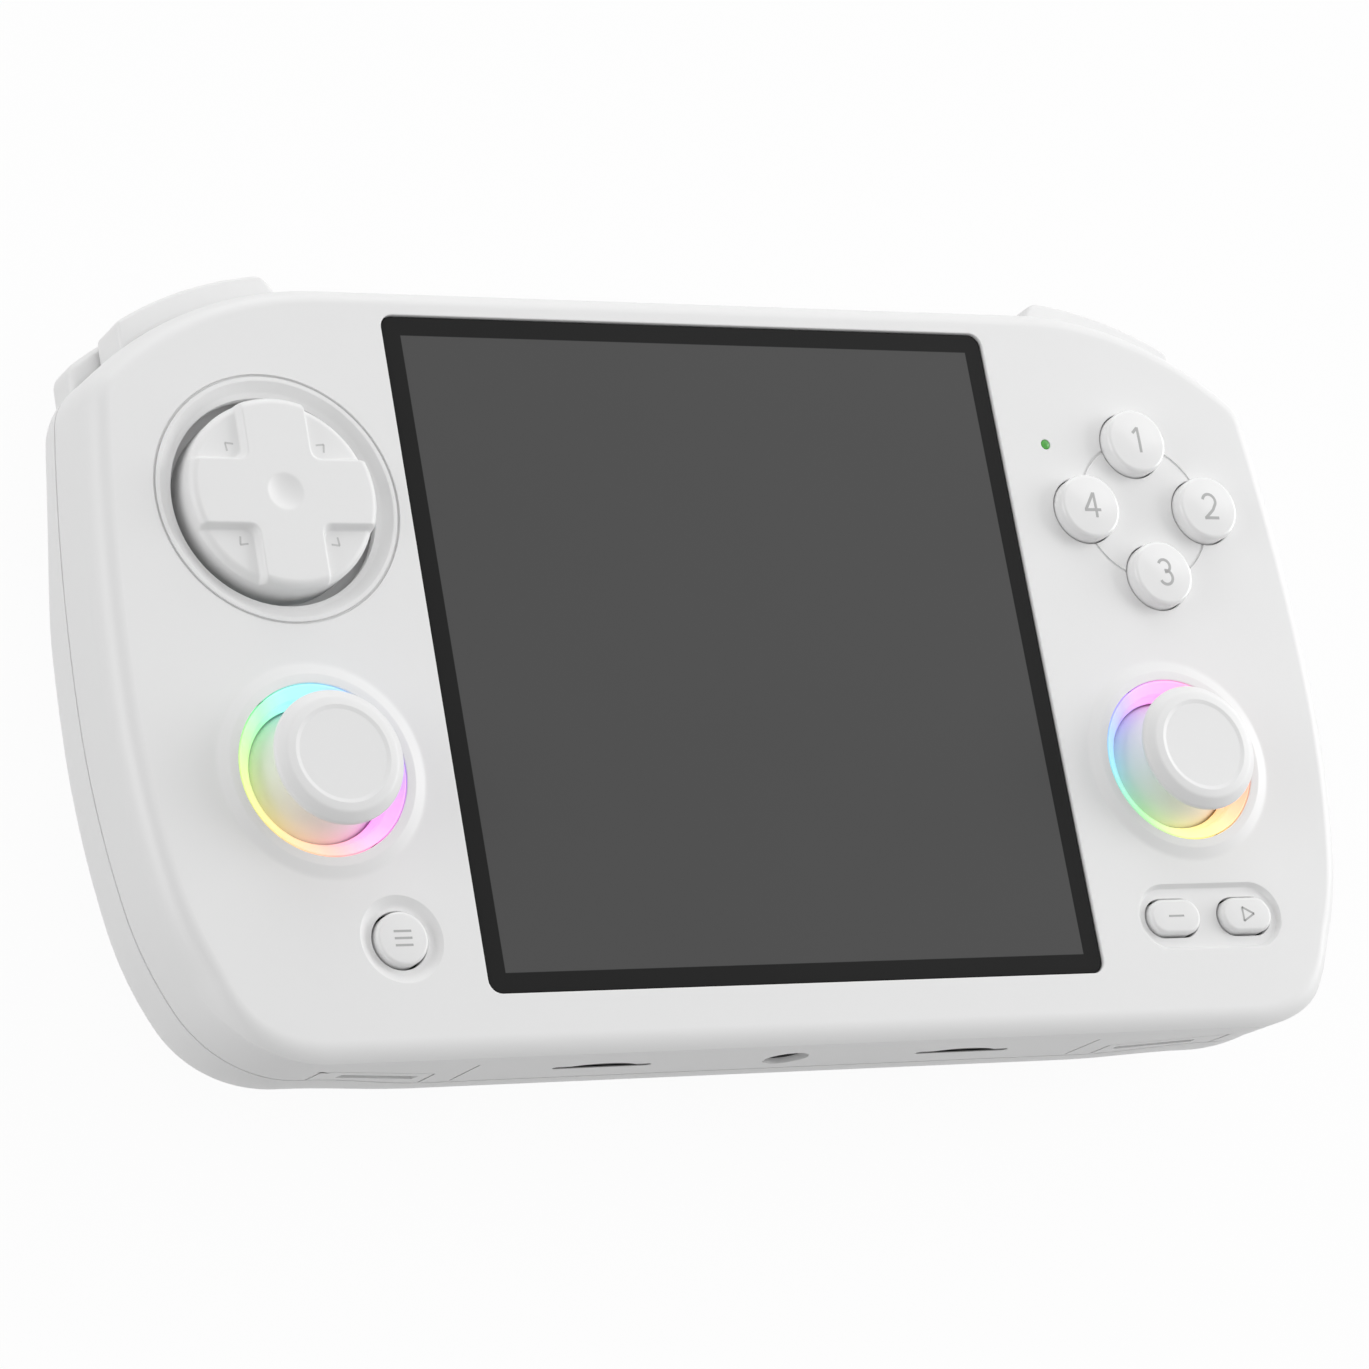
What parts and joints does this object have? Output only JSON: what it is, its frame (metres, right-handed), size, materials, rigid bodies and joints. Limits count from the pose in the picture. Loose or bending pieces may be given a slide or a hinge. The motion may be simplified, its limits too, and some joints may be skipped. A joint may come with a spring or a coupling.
{
  "type": "handheld game console",
  "caption": "Handheld game console with a square screen, round direction pad, thumb sticks in glowing collars, face buttons, shoulder bumpers and triggers, in a white two-part shell.",
  "frame": {"origin": "centre of the overall footprint on the plane that the rear grips rest on", "axes": "+X to the right of the screen, +Y towards the shoulder buttons, +Z out of the screen"},
  "size_m": [0.1496, 0.0875, 0.029],
  "materials": {
    "shell": "fine satin moulding",
    "button": "polished",
    "glass": "clear over black border",
    "display": "dark panel",
    "ring": "frosted, lit from below",
    "light": "lit green",
    "rubber": "moulded silicone",
    "adhesive": "foam",
    "metal": "plated",
    "board": "solder mask",
    "cable": "film",
    "battery": "sleeve",
    "black": "moulded",
    "white_inner": "moulded"
  },
  "bodies": {
    "console": {"front_shell": "shell", "rear_shell": "shell", "screen_glass": "glass", "display_adhesive": "adhesive", "lcd_panel": "display", "display_bracket": "metal", "bracket_screws": "metal", "display_cable": "cable", "main_board": "board", "board_screws": "metal", "processor_shield": "metal", "battery_pack": "battery", "left_speaker": "black", "right_speaker": "black", "headphone_jack": "black", "usb_port": "metal", "video_port": "metal", "left_card_socket": "metal", "right_card_socket": "metal", "vibration_motor": "metal", "left_light_ring": "ring", "right_light_ring": "ring", "status_light_pipe": "light", "dpad_membrane": "rubber", "face_button_membrane": "rubber", "menu_membrane": "rubber", "select_start_membrane": "rubber", "left_stick_housing": "black", "right_stick_housing": "black", "left_shoulder_pin": "metal", "right_shoulder_pin": "metal", "shoulder_switches": "black", "top_switches": "black", "case_screws": "metal"},
    "dpad_pivot": {"dpad_pivot": "white_inner"},
    "dpad": {"dpad": "shell"},
    "face_button_top": {"face_button_top": "button"},
    "face_button_right": {"face_button_right": "button"},
    "face_button_bottom": {"face_button_bottom": "button"},
    "face_button_left": {"face_button_left": "button"},
    "menu_button": {"menu_button": "shell"},
    "select_button": {"select_button": "shell"},
    "start_button": {"start_button": "shell"},
    "power_button": {"power_button": "shell"},
    "volume_up_button": {"volume_up_button": "shell"},
    "volume_down_button": {"volume_down_button": "shell"},
    "left_bumper": {"left_bumper": "shell"},
    "right_bumper": {"right_bumper": "shell"},
    "left_trigger": {"left_trigger": "shell"},
    "right_trigger": {"right_trigger": "shell"},
    "left_stick_cradle": {"left_stick_cradle": "white_inner"},
    "left_stick_rocker": {"left_stick_rocker": "white_inner"},
    "left_stick": {"left_stick_shaft": "metal", "left_stick_cap": "shell"},
    "right_stick_cradle": {"right_stick_cradle": "white_inner"},
    "right_stick_rocker": {"right_stick_rocker": "white_inner"},
    "right_stick": {"right_stick_shaft": "metal", "right_stick_cap": "shell"}
  },
  "joints": [
    {"name": "dpad_tilt_up_down", "type": "hinge", "parent": "console", "child": "dpad_pivot", "pos_m": [-0.053, 0.01627, 0.0187], "axis": [1, 0, 0], "range_deg": [-3.5, 3.5], "stiffness_Nm_per_rad": 0.05, "deforming": ["dpad_membrane"]},
    {"name": "dpad_tilt_left_right", "type": "hinge", "parent": "dpad_pivot", "child": "dpad", "pos_m": [-0.053, 0.01627, 0.0187], "axis": [0, 1, 0], "range_deg": [-3.5, 3.5], "stiffness_Nm_per_rad": 0.05, "deforming": ["dpad_membrane"]},
    {"name": "face_button_top_press", "type": "slide", "parent": "console", "child": "face_button_top", "axis": [0, 0, -1], "range_m": [0, 0.001], "stiffness_N_per_m": 250, "deforming": ["face_button_membrane"]},
    {"name": "face_button_right_press", "type": "slide", "parent": "console", "child": "face_button_right", "axis": [0, 0, -1], "range_m": [0, 0.001], "stiffness_N_per_m": 250, "deforming": ["face_button_membrane"]},
    {"name": "face_button_bottom_press", "type": "slide", "parent": "console", "child": "face_button_bottom", "axis": [0, 0, -1], "range_m": [0, 0.001], "stiffness_N_per_m": 250, "deforming": ["face_button_membrane"]},
    {"name": "face_button_left_press", "type": "slide", "parent": "console", "child": "face_button_left", "axis": [0, 0, -1], "range_m": [0, 0.001], "stiffness_N_per_m": 250, "deforming": ["face_button_membrane"]},
    {"name": "menu_button_press", "type": "slide", "parent": "console", "child": "menu_button", "axis": [0, 0, -1], "range_m": [0, 0.0007], "stiffness_N_per_m": 250, "deforming": ["menu_membrane"]},
    {"name": "select_button_press", "type": "slide", "parent": "console", "child": "select_button", "axis": [0, 0, -1], "range_m": [0, 0.0007], "stiffness_N_per_m": 250, "deforming": ["select_start_membrane"]},
    {"name": "start_button_press", "type": "slide", "parent": "console", "child": "start_button", "axis": [0, 0, -1], "range_m": [0, 0.0007], "stiffness_N_per_m": 250, "deforming": ["select_start_membrane"]},
    {"name": "left_stick_click", "type": "slide", "parent": "console", "child": "left_stick_cradle", "axis": [0, 0, -1], "range_m": [0, 0.0004], "stiffness_N_per_m": 1500},
    {"name": "left_stick_tilt_up_down", "type": "hinge", "parent": "left_stick_cradle", "child": "left_stick_rocker", "pos_m": [-0.05285, -0.01363, 0.0173], "axis": [1, 0, 0], "range_deg": [-10.5, 10.5], "stiffness_Nm_per_rad": 0.03},
    {"name": "left_stick_tilt_left_right", "type": "hinge", "parent": "left_stick_rocker", "child": "left_stick", "pos_m": [-0.05285, -0.01363, 0.0173], "axis": [0, 1, 0], "range_deg": [-10.5, 10.5], "stiffness_Nm_per_rad": 0.03},
    {"name": "right_stick_click", "type": "slide", "parent": "console", "child": "right_stick_cradle", "axis": [0, 0, -1], "range_m": [0, 0.0004], "stiffness_N_per_m": 1500},
    {"name": "right_stick_tilt_up_down", "type": "hinge", "parent": "right_stick_cradle", "child": "right_stick_rocker", "pos_m": [0.05285, -0.01363, 0.0173], "axis": [1, 0, 0], "range_deg": [-10.5, 10.5], "stiffness_Nm_per_rad": 0.03},
    {"name": "right_stick_tilt_left_right", "type": "hinge", "parent": "right_stick_rocker", "child": "right_stick", "pos_m": [0.05285, -0.01363, 0.0173], "axis": [0, 1, 0], "range_deg": [-10.5, 10.5], "stiffness_Nm_per_rad": 0.03},
    {"name": "left_bumper_press", "type": "hinge", "parent": "console", "child": "left_bumper", "pos_m": [-0.04537, 0.03483, 0.0162], "axis": [0, 0, 1], "range_deg": [0, 3], "stiffness_Nm_per_rad": 0.06},
    {"name": "left_trigger_press", "type": "hinge", "parent": "console", "child": "left_trigger", "pos_m": [-0.04537, 0.03483, 0.0103], "axis": [0, 0, 1], "range_deg": [0, 6], "stiffness_Nm_per_rad": 0.06},
    {"name": "right_bumper_press", "type": "hinge", "parent": "console", "child": "right_bumper", "pos_m": [0.04537, 0.03483, 0.0162], "axis": [0, 0, -1], "range_deg": [0, 3], "stiffness_Nm_per_rad": 0.06},
    {"name": "right_trigger_press", "type": "hinge", "parent": "console", "child": "right_trigger", "pos_m": [0.04537, 0.03483, 0.0103], "axis": [0, 0, -1], "range_deg": [0, 6], "stiffness_Nm_per_rad": 0.06},
    {"name": "power_button_press", "type": "slide", "parent": "console", "child": "power_button", "axis": [0, -1, 0], "range_m": [0, 0.0004], "stiffness_N_per_m": 250},
    {"name": "volume_up_button_press", "type": "slide", "parent": "console", "child": "volume_up_button", "axis": [0, -1, 0], "range_m": [0, 0.0004], "stiffness_N_per_m": 250},
    {"name": "volume_down_button_press", "type": "slide", "parent": "console", "child": "volume_down_button", "axis": [0, -1, 0], "range_m": [0, 0.0004], "stiffness_N_per_m": 250}
  ]
}
